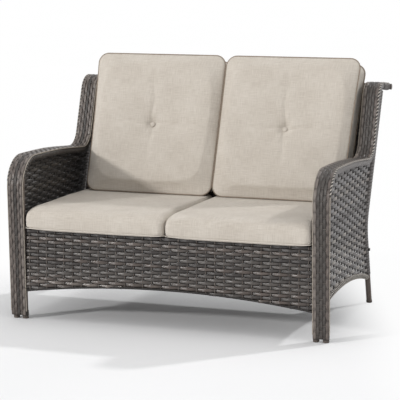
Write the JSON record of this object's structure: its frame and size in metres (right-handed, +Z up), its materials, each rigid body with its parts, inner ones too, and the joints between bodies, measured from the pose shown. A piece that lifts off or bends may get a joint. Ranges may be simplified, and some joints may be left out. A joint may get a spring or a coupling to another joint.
{
  "type": "patio loveseat",
  "caption": "Outdoor loveseat with curved woven resin arms, an arched woven apron, loose boxed seat cushions and button-tufted back cushions with piping.",
  "frame": {"origin": "on the floor under the middle of the whole object", "axes": "+Z up, the seat faces -Y, +X to the right as seen from the front"},
  "size_m": [1.3006, 0.9138, 0.9849],
  "materials": {
    "resin_weave": "flat extruded resin wicker in mixed grey, charcoal and taupe browns, satin",
    "wrapped_tube": "powder-coated steel tube wrapped in flat resin strand, dark grey brown",
    "coated_tube": "powder-coated steel tube, dark brown, fine matte",
    "foot_plastic": "moulded plastic caps and plugs, near black",
    "hardware": "zinc-plated steel",
    "cushion_cover": "oatmeal heathered outdoor fabric, plain weave",
    "piping": "tan fabric cord sewn into the seams",
    "cushion_core": "foam wrapped in polyester wadding",
    "zip": "coil zip in beige tape",
    "twine": "waxed tufting twine"
  },
  "bodies": {
    "frame": {"apron_bottom_rail": "wrapped_tube", "apron_stays": "coated_tube", "apron_weave": "resin_weave", "arm_end_plugs": "foot_plastic", "back_bolts": "hardware", "back_bottom_rail": "coated_tube", "back_panel_weave": "resin_weave", "back_rail_inserts": "hardware", "back_rail_spigots": "coated_tube", "back_stays": "coated_tube", "back_top_rail": "wrapped_tube", "back_washers": "hardware", "front_foot_caps": "foot_plastic", "left_arm_band_weave": "resin_weave", "left_arm_end_rail": "wrapped_tube", "left_arm_inner_tube": "wrapped_tube", "left_arm_outer_tube": "wrapped_tube", "left_arm_rungs": "coated_tube", "left_arm_seat_rail": "coated_tube", "left_back_stile": "wrapped_tube", "left_side_bottom_rail": "wrapped_tube", "left_side_panel_weave": "resin_weave", "rear_foot_caps": "foot_plastic", "right_arm_band_weave": "resin_weave", "right_arm_end_rail": "wrapped_tube", "right_arm_inner_tube": "wrapped_tube", "right_arm_outer_tube": "wrapped_tube", "right_arm_rungs": "coated_tube", "right_arm_seat_rail": "coated_tube", "right_back_stile": "wrapped_tube", "right_side_bottom_rail": "wrapped_tube", "right_side_panel_weave": "resin_weave", "seat_bolts": "hardware", "seat_cross_bars": "coated_tube", "seat_deck_weave": "resin_weave", "seat_front_rail": "coated_tube", "seat_nuts": "hardware", "seat_rear_rail": "coated_tube", "seat_side_bars": "coated_tube", "seat_washers": "hardware"},
    "left_seat_cushion": {"left_seat_cushion_core": "cushion_core", "left_seat_cushion_cover": "cushion_cover", "left_seat_cushion_zip": "zip"},
    "left_back_cushion": {"left_back_cushion_buttons": "cushion_cover", "left_back_cushion_core": "cushion_core", "left_back_cushion_cover": "cushion_cover", "left_back_cushion_front_piping": "piping", "left_back_cushion_rear_piping": "piping", "left_back_cushion_tuft_twine": "twine", "left_back_cushion_zip": "zip"},
    "right_seat_cushion": {"right_seat_cushion_core": "cushion_core", "right_seat_cushion_cover": "cushion_cover", "right_seat_cushion_zip": "zip"},
    "right_back_cushion": {"right_back_cushion_buttons": "cushion_cover", "right_back_cushion_core": "cushion_core", "right_back_cushion_cover": "cushion_cover", "right_back_cushion_front_piping": "piping", "right_back_cushion_rear_piping": "piping", "right_back_cushion_tuft_twine": "twine", "right_back_cushion_zip": "zip"}
  },
  "joints": [
    {"name": "left_seat_cushion_pull_out", "type": "slide", "parent": "frame", "child": "left_seat_cushion", "axis": [0, -1, 0], "range_m": [0, 0.66]},
    {"name": "left_back_cushion_lift_out", "type": "slide", "parent": "frame", "child": "left_back_cushion", "axis": [0, 0, 1], "range_m": [0, 0.5]},
    {"name": "right_seat_cushion_pull_out", "type": "slide", "parent": "frame", "child": "right_seat_cushion", "axis": [0, -1, 0], "range_m": [0, 0.66]},
    {"name": "right_back_cushion_lift_out", "type": "slide", "parent": "frame", "child": "right_back_cushion", "axis": [0, 0, 1], "range_m": [0, 0.5]}
  ]
}
